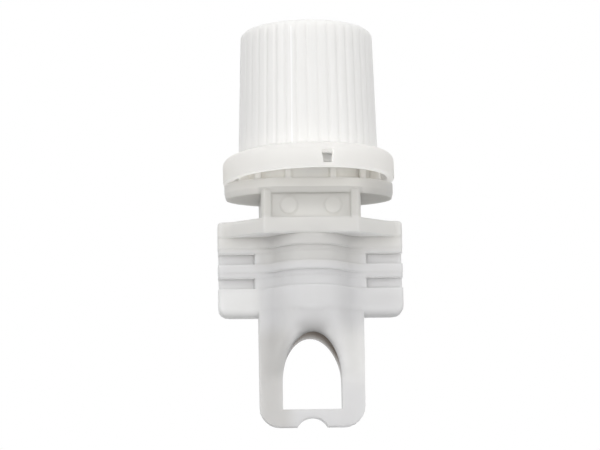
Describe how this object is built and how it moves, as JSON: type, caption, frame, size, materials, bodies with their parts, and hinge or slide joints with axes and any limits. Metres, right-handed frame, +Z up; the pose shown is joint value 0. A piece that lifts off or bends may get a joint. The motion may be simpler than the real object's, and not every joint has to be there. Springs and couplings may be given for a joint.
{
  "type": "pouch spout with screw cap",
  "caption": "Moulded pouch spout with a ribbed, winged weld boat, wedge leg, rail flange, threaded neck, ribbed screw cap and tamper band.",
  "frame": {"origin": "middle of the weld boat, on the axis of the bore, where the pouch's seam holds the spout", "axes": "+Z up along the bore towards the cap, +X along the weld boat towards one wing tip, front at -Y"},
  "size_m": [0.03, 0.028, 0.065],
  "materials": {
    "natural_polyethylene": "satin, milky translucent",
    "white_cap_plastic": "satin",
    "white_band_plastic": "satin",
    "liner_foam": "matte"
  },
  "bodies": {
    "spout": {"spout_body": "natural_polyethylene"},
    "liner": {"sealing_liner": "liner_foam"},
    "cap": {"screw_cap": "white_cap_plastic"},
    "band": {"tamper_band": "white_band_plastic"}
  },
  "joints": [
    {"name": "cap_rise", "type": "slide", "parent": "spout", "child": "liner", "axis": [0, 0, 1], "range_m": [0, 0.0201]},
    {"name": "cap_turn", "type": "hinge", "parent": "liner", "child": "cap", "pos_m": [0, 0, 0], "axis": [0, 0, 1], "range_deg": [0, 900]},
    {"name": "band_turn", "type": "hinge", "parent": "spout", "child": "band", "pos_m": [0, 0, 0], "axis": [0, 0, 1], "range_deg": [-6, 6]}
  ],
  "couplings": [
    {"joint": "cap_rise", "follows": "cap_turn", "m_per_rad": 0.0012732}
  ]
}
